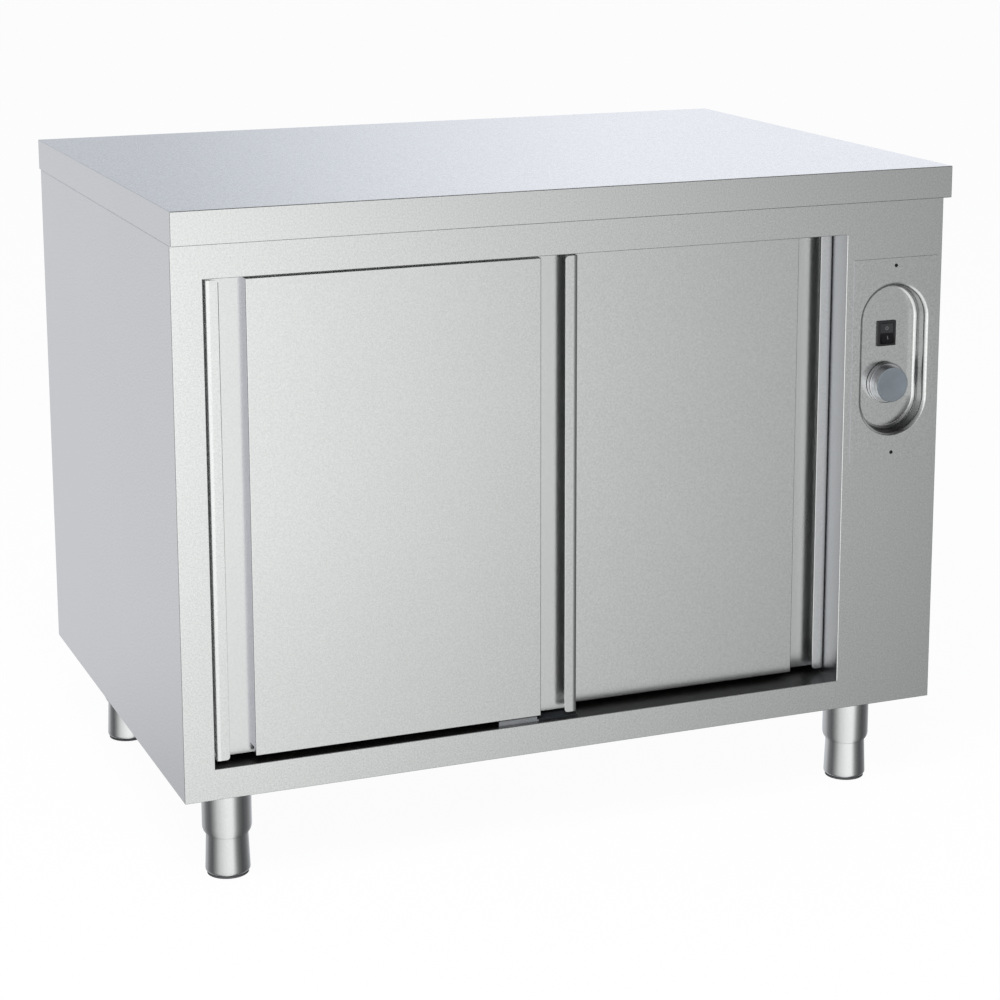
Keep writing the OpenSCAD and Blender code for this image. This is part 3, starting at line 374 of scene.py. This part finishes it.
def finish_piece(made, name, look_name, body):
    """Turns an editable mesh into a shown piece that rides its body."""
    for face in made.faces:
        face.smooth = True
    for edge in made.edges:
        edge.smooth = len(edge.link_faces) == 2 and edge.calc_face_angle(0) < SMOOTH_UNDER
    mesh = bpy.data.meshes.new(name)
    made.to_mesh(mesh)
    made.free()
    piece = bpy.data.objects.new(name, mesh)
    bpy.context.scene.collection.objects.link(piece)
    mesh.materials.append(look[look_name])
    even = piece.modifiers.new("even_normals", "WEIGHTED_NORMAL")
    even.keep_sharp = True
    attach(piece, body)
    return piece


def dressed(node, look_name, radius=0.0, planes=None, prepare=None):
    """Shows a node with smooth curves and, where planes are given, rounded folds.

    Prepare changes the editable mesh before it is folded."""
    made = copied(node)
    if prepare:
        prepare(made)
    if planes:
        fold(made, radius, planes)
    piece = finish_piece(made, node + "_sheet", look_name, body_name(node))
    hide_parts(node)
    return piece


def turn_normals(piece, turned):
    """Gives corners of a piece the normal that turned(face, place) returns, unless it returns none."""
    mesh = piece.data
    shown = piece.evaluated_get(bpy.context.evaluated_depsgraph_get()).data
    normals = [corner.vector.copy() for corner in shown.corner_normals]
    for face in mesh.polygons:
        for i in face.loop_indices:
            normals[i] = turned(face, mesh.vertices[mesh.loops[i].vertex_index].co) or normals[i]
    piece.modifiers.clear()
    mesh.normals_split_custom_set(normals)


def sideways(angle):
    """A normal of the front, turned to the right by an angle."""
    return Vector((math.sin(angle), -math.cos(angle), 0))


def patch(piece, look_name, chosen):
    """Gives another finish to the faces of a piece that the test chooses."""
    piece.data.materials.append(look[look_name])
    for face in piece.data.polygons:
        if chosen(face):
            face.material_index = len(piece.data.materials) - 1


# Casing

def casing():
    """Worktop, front frame, sides, back and shelf."""
    worktop = dressed("worktop", "frame", WORKTOP_FOLD, box_planes("worktop"))
    patch(worktop, "top", lambda face: faces(face, "+z"))
    front_frame()
    for side in ("left", "right"):
        dressed(side + "_side_panel", "side", BODY_FOLD, box_planes(side + "_side_panel"))
    dressed("rear_panel", "panel", BODY_FOLD, box_planes("rear_panel"))
    rear_screws()
    dressed("shelf", "chamber", SHELF_FOLD, box_planes("shelf"))


# How far the head's lower edge is lowered, and the control column's rolled edge beside the door opening
HEAD_DROP = 0.7 * MM
COLUMN_LINE = 0.5 * MM
COLUMN_TURN = math.radians(20)


def front_frame():
    """Front frame with its outer edges and the edges of the door opening folded."""
    outer, opening = box_planes("front_frame"), box_planes("door_track")
    left, right = opening["x"]
    sill = box_planes("chamber_floor")["z"][1]
    head = box_planes("chamber_ceiling")["z"][0] - SHEET
    made = copied("front_frame")
    for vert in made.verts:
        if abs(vert.co.z - head) < NEAR:
            vert.co.z -= HEAD_DROP
    fold(made, BODY_FOLD, {"x": outer["x"] + opening["x"], "y": outer["y"][:1],
                           "z": (outer["z"][0], sill, head - HEAD_DROP)})
    edge = right + BODY_FOLD
    low, high = sill + SHEET, head - HEAD_DROP - SHEET
    cut_across(made, "x", edge + COLUMN_LINE)
    cut_across(made, "z", low, high)
    piece = finish_piece(made, "front_frame_sheet", "frame", body_name("front_frame"))
    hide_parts("front_frame")
    # painted shade: the upward face at the bottom of the opening is darker steel
    patch(piece, "sill", lambda face: faces(face, "+z") and abs(face.center.z - sill) < NEAR)
    # painted light: the left edge of the door opening, facing right, gets the brighter rough steel
    patch(piece, "gap_painted_light", lambda face: faces(face, "+x") and abs(face.center.x - left) < NEAR)
    # painted shade: the right edge of the door opening, facing left, is darker steel
    patch(piece, "jamb_painted_shade", lambda face: faces(face, "-x") and abs(face.center.x - right) < NEAR)

    def rolled(face, place):
        beside = edge < face.center.x < edge + COLUMN_LINE and low < face.center.z < high
        return sideways(-COLUMN_TURN) if faces(face, "-y") and beside and place.x < edge + NEAR else None

    turn_normals(piece, rolled)


SCREW_HEAD_R = 4.5 * MM
SCREW_HEAD_H = 2.6 * MM
SCREW_HEAD_FALL = 0.8
SCREW_HEAD_POWER = 4
SCREW_RINGS = 9
SCREW_SIDES = 32
CROSS_ARM = 0.6 * MM
CROSS_REACH = 2.5 * MM
CROSS_DEPTH = 1.3 * MM
REAR_SCREWS = 5
REAR_SCREW_INSET = 11 * MM
REAR_SCREW_END = 40 * MM


def circle(radius, steps):
    """Points of a circle about the origin."""
    return [(radius * math.cos(i * math.tau / steps), radius * math.sin(i * math.tau / steps))
            for i in range(steps)]


def head_height(x, z):
    """Height of a pan head above its seat, with a cross recess."""
    share = min(1.0, math.hypot(x, z) / SCREW_HEAD_R)
    height = SCREW_HEAD_H * math.sqrt(1 - SCREW_HEAD_FALL * share ** SCREW_HEAD_POWER)
    arms = sorted((abs(x), abs(z)))
    return height - CROSS_DEPTH if arms[0] < CROSS_ARM and arms[1] < CROSS_REACH else height


def pan_head(made, seat):
    """Adds one closed pan head that stands on its seat towards the back."""
    rings = []
    for k in range(1, SCREW_RINGS + 1):
        points = circle(SCREW_HEAD_R * k / SCREW_RINGS, SCREW_SIDES)
        rings.append([made.verts.new(seat + Vector((x, head_height(x, z), z))) for x, z in points])
    rings.append([made.verts.new(seat + Vector((x, -NEAR, z))) for x, z in circle(SCREW_HEAD_R, SCREW_SIDES)])
    middle = made.verts.new(seat + Vector((0, head_height(0, 0), 0)))
    for i in range(SCREW_SIDES):
        j = (i + 1) % SCREW_SIDES
        made.faces.new((middle, rings[0][j], rings[0][i]))
        for inner, outer in zip(rings, rings[1:]):
            made.faces.new((inner[i], inner[j], outer[j], outer[i]))
    made.faces.new(rings[-1])
    bmesh.ops.recalc_face_normals(made, faces=made.faces)


def rear_screws():
    """Pan-head screws that hold the rear panel to the returns of the sides."""
    low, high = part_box("rear_panel")
    made = bmesh.new()
    span = high[2] - low[2] - 2 * REAR_SCREW_END
    for x in (low[0] + REAR_SCREW_INSET, high[0] - REAR_SCREW_INSET):
        for i in range(REAR_SCREWS):
            pan_head(made, Vector((x, high[1], low[2] + REAR_SCREW_END + span * i / (REAR_SCREWS - 1))))
    finish_piece(made, "rear_panel_screws", "hardware", body_name("rear_panel"))


# Doors

def doors():
    """Faces, lips and back panels of both doors."""
    for side in ("left", "right"):
        node = side + "_door_face"
        planes = box_planes(node)
        planes["y"] = planes["y"][:1]
        tray = dressed(node, "panel", DOOR_FOLD, planes)
        # painted shade on the door face's left-facing walls
        patch(tray, "tray_wall_painted_shade", lambda face: faces(face, "-x"))
        door_lips(side + "_door_lips")
        dressed(side + "_door_back", "channel")


# Depth of a lip's front flange, and the rolled edges of lips whose free edge is to the right or to the left
FLANGE_DEPTH = 6.0 * MM
LIP_ROLL = {1: 0.9 * MM, -1: 0.4 * MM}
LIP_TURN = math.radians(40)


def door_lips(node):
    """Lips of a door, with painted shade on their walls within the channels, brighter rough steel with
    painted light on their outer walls, and the sheen of a rolled edge at their free ends.
    """
    low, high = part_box(node)
    middle, deep = (low[0] + high[0]) / 2, low[1] + FLANGE_DEPTH
    front = [v.co.x for v in nodes[node].data.vertices if v.co.y < low[1] + NEAR]
    free = {max(x for x in front if x < middle): 1, min(x for x in front if x > middle): -1}
    cuts = [x - way * LIP_ROLL[way] for x, way in free.items()]
    piece = dressed(node, "panel", prepare=lambda made: cut_across(made, "x", *cuts))

    def outward(face):
        return face.normal.x * (face.center.x - middle)

    def rolled(face, place):
        ways = [way for x, way in free.items() if abs(place.x - x) < NEAR and faces(face, "-y")]
        return sideways(ways[0] * LIP_TURN) if ways else None

    # painted shade on the lips' walls within the channels
    patch(piece, "recess_painted_shade", lambda face: abs(face.normal.x) > FACING and face.center.y > deep
          and outward(face) < 0)
    # painted light: the lips' outer walls get the brighter rough steel
    patch(piece, "gap_painted_light", lambda face: abs(face.normal.x) > FACING and outward(face) > 0)
    turn_normals(piece, rolled)


GUIDE_PAD_DEPTH = 13 * MM


def door_guide():
    """The doors' bottom guide: a light pad for the left door, and the rest of it in near-black plastic as
    painted shade.
    """
    low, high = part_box("door_guide")
    middle = (low[0] + high[0]) / 2
    # the guide is near-black as painted shade, except its light pad
    piece = dressed("door_guide", "guide_painted_shade", prepare=lambda made: cut_across(made, "x", middle))
    patch(piece, "guide_light",
          lambda face: face.center.x < middle and face.center.y < low[1] + GUIDE_PAD_DEPTH)


# Controls

SWITCH = next(joint for joint in frame["joints"] if joint["name"] == "switch_tip")
ROCKER_SLOPE = math.radians(SWITCH["range_deg"][1])
ROCKER_FACING = 0.99
MARK_REACH = 6.2 * MM
MARK_LIFT = 0.08 * MM
RING_R = 2.2 * MM
RING_LINE = 0.6 * MM
RING_STEPS = 40
BAR_LINE = 1.2 * RING_LINE
KNOB_EDGE = 1.5 * MM


def is_upper_half(face):
    """Whether a face of the rocker is the front of its upper half."""
    return face.normal.y < -ROCKER_FACING and face.center.z > SWITCH["pos_m"][2]


def bar(width, height):
    """Corners of an upright bar about the origin."""
    x, z = width / 2, height / 2
    return [(-x, -z), (x, -z), (x, z), (-x, z)]


def switch_mark(name, outer, inner, turn, at):
    """A thin flat mark from outlines in X and Z, tilted about X and put at a place on the rocker."""
    made = bmesh.new()
    rim = [made.verts.new((x, 0, z)) for x, z in outer]
    hole = [made.verts.new((x, 0, z)) for x, z in inner]
    for i in range(len(hole)):
        j = (i + 1) % len(hole)
        made.faces.new((rim[i], rim[j], hole[j], hole[i]))
    if not hole:
        made.faces.new(rim)
    moved = Matrix.Translation(at) @ Matrix.Rotation(turn, 4, "X") @ Matrix.Translation((0, -MARK_LIFT, 0))
    bmesh.ops.transform(made, matrix=moved, verts=made.verts)
    bmesh.ops.recalc_face_normals(made, faces=made.faces)
    finish_piece(made, name, "mark", "switch_rocker")


def switch_marks(rocker):
    """A ring on the upper half of the rocker and a bar on its lower half."""
    upper = max(filter(is_upper_half, rocker.data.polygons), key=lambda face: face.area)
    x, front = upper.center.x, upper.center.y
    valley = min(rocker.data.vertices[i].co.z for i in upper.vertices)
    switch_mark("switch_ring", circle(RING_R, RING_STEPS), circle(RING_R - RING_LINE, RING_STEPS), 0,
                (x, front, valley + MARK_REACH))
    low = (x, front - MARK_REACH * math.sin(ROCKER_SLOPE), valley - MARK_REACH * math.cos(ROCKER_SLOPE))
    switch_mark("switch_bar", bar(BAR_LINE, 2 * RING_R), [], -ROCKER_SLOPE, low)


def controls():
    """Control panel, switch and knob."""
    plate = box_planes("control_panel")
    front, back = plate["y"]
    plate["y"] = (front,)
    panel = dressed("control_panel", "frame", PANEL_EDGE, plate)
    # painted shade on the plate's left-facing edge
    patch(panel, "tray_wall_painted_shade", lambda face: faces(face, "-x") and face.center.y < front + SHEET)
    # the pan gets steel with painted shade by the way its faces point
    patch(panel, "pan", lambda face: front + SHEET < face.center.y < back - SHEET - NEAR)
    dressed("control_panel_screws", "screw")
    dressed("switch_housing", "black", PLASTIC_EDGE, box_planes("switch_housing"))
    rocker = dressed("switch_rocker", "rocker")
    # painted light on the upper half of the rocker
    patch(rocker, "rocker_top_painted_light", is_upper_half)
    switch_marks(rocker)
    knob = dressed("thermostat_knob", "knob")
    cap_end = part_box("thermostat_knob")[0][1] + KNOB_EDGE
    patch(knob, "cap", lambda face: face.center.y < cap_end)


# Legs

LEGS = ("front_left", "front_right", "rear_left", "rear_right")
FOOT_GAP = 0.5 * MM
# How far the faces of a leg's curled end look down, and the tilt of the normals they are given
CURL_DOWN = (0.02, 0.85)
CURL_TILT = 0.08
STEM_R = 8.0 * MM
THREAD_PITCH = 2.0 * MM
THREAD_DEPTH = 1.1 * MM
THREAD_SIDES = 24
THREAD_ROWS = 4
THREAD_SUNK = 1.0 * MM
THREAD_END = 2.0 * MM


def thread_radius(along, length, turn):
    """Radius of the foot's screw at a place along it and a share of a turn round it."""
    wave = abs(2 * ((along / THREAD_PITCH - turn) % 1.0) - 1)
    fade = min(1.0, along / THREAD_END, (length - along) / THREAD_END)
    return STEM_R - NEAR - THREAD_DEPTH * wave * fade


def threaded_rod(name, axis, bottom, top, body):
    """A closed screw that stands upright, with a helical thread cut into it."""
    made = bmesh.new()
    length = top - bottom
    count = round(length / THREAD_PITCH * THREAD_ROWS)
    rows = []
    for k in range(count + 1):
        along = length * k / count
        row = []
        for i in range(THREAD_SIDES):
            turn = i / THREAD_SIDES
            radius = thread_radius(along, length, turn)
            row.append(made.verts.new((axis[0] + radius * math.cos(turn * math.tau),
                                       axis[1] + radius * math.sin(turn * math.tau), bottom + along)))
        rows.append(row)
    for below, above in zip(rows, rows[1:]):
        for i in range(THREAD_SIDES):
            j = (i + 1) % THREAD_SIDES
            made.faces.new((below[i], below[j], above[j], above[i]))
    made.faces.new(rows[0][::-1])
    made.faces.new(rows[-1])
    finish_piece(made, name, "hardware", body)


def foot(leg):
    """A foot without its plain screw, and the threaded one in its place."""
    node = leg + "_foot"
    low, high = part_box(node)
    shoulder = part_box("leg_tubes")[0][2] - FOOT_GAP
    made = copied(node)
    stem = [face for face in made.faces if face.calc_center_median().z > shoulder + NEAR]
    bmesh.ops.delete(made, geom=stem, context="FACES")
    bmesh.ops.holes_fill(made, edges=[edge for edge in made.edges if edge.is_boundary], sides=0)
    for vert in made.verts:
        if vert.co.z > shoulder - NEAR:
            vert.co.z = shoulder + FOOT_GAP - NEAR
    piece = finish_piece(made, node + "_sheet", "foot", body_name(node))
    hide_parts(node)
    axis = ((low[0] + high[0]) / 2, (low[1] + high[1]) / 2)
    threaded_rod(node + "_screw", axis, shoulder - THREAD_SUNK, high[2], body_name(node))


def leg_tubes():
    """Leg tubes, with the sheen of the straight tube drawn on over their curled ends."""
    piece = dressed("leg_tubes", "leg")
    piece.modifiers.clear()
    axes = [[sum(pair) / 2 for pair in zip(*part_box(leg + "_foot"))] for leg in LEGS]

    def drawn_on(face, place):
        axis = min(axes, key=lambda a: math.hypot(place.x - a[0], place.y - a[1]))
        outward = Vector((place.x - axis[0], place.y - axis[1], 0)).normalized()
        curled = CURL_DOWN[0] < -face.normal.z < CURL_DOWN[1] and outward.dot(face.normal) > 0
        return (outward + Vector((0, 0, -CURL_TILT))).normalized() if curled else None

    turn_normals(piece, drawn_on)


def legs():
    """Leg tubes, feet and pads."""
    leg_tubes()
    for leg in LEGS:
        foot(leg)
        dressed(leg + "_foot_pad", "pad")


# Nodes that are shown as they are

PLAIN_LOOKS = {
    "hardware": ["worktop_stiffeners", "door_track", "leg_flanges", "leg_bolts", "heater_duct", "fan_motor",
                 "left_door_hangers", "right_door_hangers", "heating_element", "thermostat_spindle"],
    "chamber": ["chamber_left_wall", "chamber_right_wall", "chamber_rear_wall", "chamber_ceiling",
                "chamber_floor", "shelf_rails"],
    "panel": ["base_panel"],
    "wool": ["left_insulation", "rear_insulation", "ceiling_insulation", "floor_insulation",
             "left_door_insulation", "right_door_insulation"],
    "black": ["cable_gland", "left_door_roller_left", "left_door_roller_right", "right_door_roller_left",
              "right_door_roller_right"],
    "guide_light": ["thermostat", "fan_impeller"],
    "cream": ["terminal_block"],
    "copper": ["thermostat_bulb"],
}


def plain_nodes():
    """Finishes of the CAD nodes that are shown as they are."""
    for look_name, names in PLAIN_LOOKS.items():
        for name in names:
            nodes[name].data.materials.clear()
            nodes[name].data.materials.append(look[look_name])


# Studio

# Light that the steel sees below the horizon, in degrees to the right of the front
LOW = (
    (-180, (0.66, 0.69, 0.745)), (-164, (0.66, 0.655, 0.682)), (-146, (0.52, 0.53, 0.54)),
    (-127, (0.22, 0.225, 0.23)), (-100, (0.11, 0.11, 0.115)), (-80, (0.34, 0.34, 0.34)),
    (-58, (0.76, 0.77, 0.76)), (-36, (0.96, 0.97, 0.96)), (-14, (1.12, 1.13, 1.12)),
    (8, (1.14, 1.15, 1.14)), (14.5, (1.07, 1.077, 1.07)), (19, (0.81, 0.82, 0.815)),
    (24, (0.6, 0.61, 0.605)), (28.5, (0.435, 0.445, 0.44)), (32, (0.335, 0.34, 0.34)),
    (42, (0.186, 0.188, 0.188)), (64, (0.085, 0.086, 0.088)), (91, (0.16, 0.16, 0.165)),
    (110, (0.3, 0.305, 0.31)), (125, (0.45, 0.46, 0.48)), (146, (0.8, 0.82, 0.87)),
    (160, (0.72, 0.75, 0.8)), (180, (0.66, 0.69, 0.745)),
)
# The same above the horizon, with a dark flag in front
HIGH = (
    (-180, (0.66, 0.69, 0.745)), (-150, (0.62, 0.64, 0.67)), (-90, (0.55, 0.56, 0.57)),
    (-20, (0.5, 0.5, 0.5)), (0, (0.4, 0.4, 0.4)), (10, (0.1, 0.1, 0.1)), (38, (0.1, 0.1, 0.1)),
    (50, (0.4, 0.4, 0.4)), (110, (0.6, 0.61, 0.63)), (140, (1.07, 1.09, 1.17)), (156, (1.07, 1.09, 1.17)),
    (161, (0.9, 0.93, 1.0)), (164, (0.766, 0.795, 0.86)), (166, (0.68, 0.71, 0.765)),
    (180, (0.66, 0.69, 0.745)),
)
# How that light fades below and above, by the sine of the height
FADE = (
    (-1.0, 0.85), (-0.85, 0.8), (-0.6, 0.78), (-0.42, 0.75), (-0.365, 0.74), (-0.335, 0.81),
    (-0.29, 0.98), (-0.26, 1.045), (-0.15, 1.03),
    (0.0, 0.95), (0.14, 0.9), (0.38, 0.6), (0.58, 0.5), (0.85, 0.55), (1.0, 0.6),
)
# The same for the light behind the left, which stays even on the side and ends below it
EVEN = (
    (-1.0, 0.85), (-0.42, 0.7), (-0.365, 0.74), (-0.34, 0.9), (-0.315, 0.99), (-0.15, 0.985), (0.0, 0.93),
    (0.14, 0.9), (0.38, 0.6), (0.58, 0.5), (0.85, 0.55), (1.0, 0.6),
)
# Where that is, in degrees to the right of the front
LEFT_REAR = ((-180, 1.0), (-150, 1.0), (-140, 0.0), (168, 0.0), (180, 1.0))
# What the stops of these tables are counted over
DEGREES = (-180, 180)
SINES = (-1, 1)
HORIZON = 0.06

KEY_AT = (-1.5, -2.6, 3.4)
KEY_SIZE = 2.6
KEY_POWER = 190.0
FLOOR_SIZE = 60.0
FLOOR_CLOUDS = 3.0
FLOOR_TONES = (0.9, 0.93)
FLOOR_GLOW = 0.96
WHITE = (1, 1, 1, 1)


def ramp(tree, factor, stops, span):
    """A colour ramp through stops of a place in a span and a colour or a grey."""
    made = put(tree, "ShaderNodeValToRGB", Fac=factor)
    elements = made.color_ramp.elements
    while len(elements) > 1:
        elements.remove(elements[-1])
    for i, (place, tone) in enumerate(stops):
        position = (place - span[0]) / (span[1] - span[0])
        stop = elements[0] if i == 0 else elements.new(position)
        stop.position = position
        stop.color = (*tone, 1.0) if isinstance(tone, tuple) else (tone, tone, tone, 1.0)
    return made.outputs["Color"]


def studio_world():
    """White for the camera; for light and reflections a white surround with darker flags at both sides."""
    world = bpy.data.worlds.new("studio")
    bpy.context.scene.world = world
    world.use_nodes = True
    tree = world.node_tree
    ray = put(tree, "ShaderNodeTexCoord").outputs["Generated"]
    axis = put(tree, "ShaderNodeSeparateXYZ", Vector=ray).outputs
    turn = step(tree, "ARCTAN2", axis["X"], step(tree, "MULTIPLY", axis["Y"], -1.0))
    way = between(tree, turn, 0, 1, (-math.pi, math.pi))
    height = between(tree, axis["Z"], 0, 1, SINES)
    rise = between(tree, axis["Z"], 0, 1, (-HORIZON, HORIZON))
    around = blend(tree, rise, ramp(tree, way, LOW, DEGREES), ramp(tree, way, HIGH, DEGREES))
    fade = blend(tree, ramp(tree, way, LEFT_REAR, DEGREES), ramp(tree, height, FADE, SINES),
                 ramp(tree, height, EVEN, SINES))
    dome = blend(tree, 1.0, around, fade, "MULTIPLY")
    rays = put(tree, "ShaderNodeLightPath").outputs
    shown = step(tree, "MAXIMUM", rays["Is Camera Ray"], rays["Is Transmission Ray"])
    fill(tree, tree.nodes["Background"], Color=blend(tree, shown, dome, WHITE), Strength=1.0)


def key_light():
    """A large soft lamp above the front left."""
    data = bpy.data.lights.new("key", "AREA")
    data.size = KEY_SIZE
    data.energy = KEY_POWER
    lamp = bpy.data.objects.new("key", data)
    lamp.location = KEY_AT
    lamp.rotation_euler = (-Vector(KEY_AT)).to_track_quat("-Z", "Y").to_euler()
    lamp.visible_glossy = False
    bpy.context.scene.collection.objects.link(lamp)


def floor():
    """A plain pale floor that keeps a soft shadow."""
    bpy.ops.mesh.primitive_plane_add(size=FLOOR_SIZE, location=(0, 0, 0))
    plane = bpy.context.object
    plane.name = "floor"
    made, tree, shader, place = material("floor_paper")
    tone = between(tree, noise(tree, place, FLOOR_CLOUDS), *FLOOR_TONES)
    paper = put(tree, "ShaderNodeCombineColor", Red=tone, Green=tone, Blue=tone).outputs[0]
    fill(tree, shader, Base_Color=paper, Roughness=1.0)
    glow = put(tree, "ShaderNodeEmission", Color=WHITE, Strength=1.0).outputs[0]
    share = step(tree, "MULTIPLY", put(tree, "ShaderNodeLightPath").outputs["Is Camera Ray"], FLOOR_GLOW)
    mixed = put(tree, "ShaderNodeMixShader", **{"0": share, "1": shader.outputs[0], "2": glow}).outputs[0]
    fill(tree, tree.nodes["Material Output"], Surface=mixed)
    plane.data.materials.append(made)
    plane.visible_glossy = False


def camera():
    """The camera at the photograph's angle."""
    data = bpy.data.cameras.new("camera")
    data.lens = CAMERA_LENS
    data.shift_x, data.shift_y = CAMERA_SHIFT
    data.clip_end = CAMERA_REACH
    eye = bpy.data.objects.new("camera", data)
    eye.location = CAMERA_AT
    eye.rotation_euler = [math.radians(a) for a in CAMERA_TURN]
    bpy.context.scene.collection.objects.link(eye)
    bpy.context.scene.camera = eye


def studio():
    """World, lamp, floor and camera."""
    bpy.context.scene.view_settings.view_transform = "Standard"
    studio_world()
    key_light()
    floor()
    camera()


casing()
doors()
door_guide()
controls()
legs()
plain_nodes()
studio()
